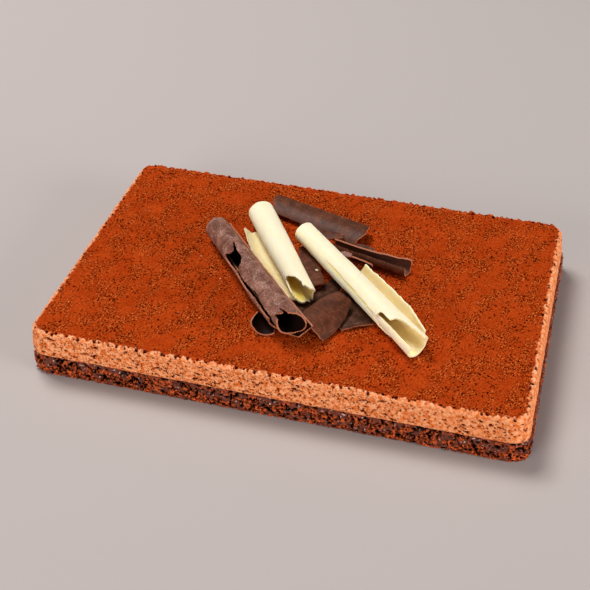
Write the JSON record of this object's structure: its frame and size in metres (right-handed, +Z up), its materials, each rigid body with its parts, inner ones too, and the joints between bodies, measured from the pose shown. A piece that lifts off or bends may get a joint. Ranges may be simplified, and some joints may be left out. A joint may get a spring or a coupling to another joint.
{
  "type": "flourless chocolate cake",
  "caption": "Rectangular layered chocolate cake: dark flourless sponge, aerated chocolate mousse, cocoa dusting and a pile of dark and white chocolate curls.",
  "frame": {"origin": "middle of the cake's underside, on the surface that it stands on", "axes": "+X along the long side, +Y across the cake towards its back, +Z up"},
  "size_m": [0.3036, 0.2, 0.0538],
  "materials": {
    "sponge": "moist dark crumb",
    "mousse": "matt, full of small bubbles",
    "cocoa": "dry powder",
    "dark_chocolate": "satin with a light bloom",
    "white_chocolate": "waxy satin"
  },
  "bodies": {
    "root": {"sponge": "sponge", "mousse": "mousse", "cocoa": "cocoa", "dark_scroll": "dark_chocolate", "dark_trough": "dark_chocolate", "white_roll_short": "white_chocolate", "white_roll_long": "white_chocolate", "dark_tile_back": "dark_chocolate", "dark_flake_back": "dark_chocolate", "dark_stick": "dark_chocolate", "dark_splinter": "dark_chocolate", "dark_shard_upper": "dark_chocolate", "dark_shard_lower": "dark_chocolate", "dark_tile_front": "dark_chocolate", "dark_shard_front": "dark_chocolate"}
  },
  "joints": []
}
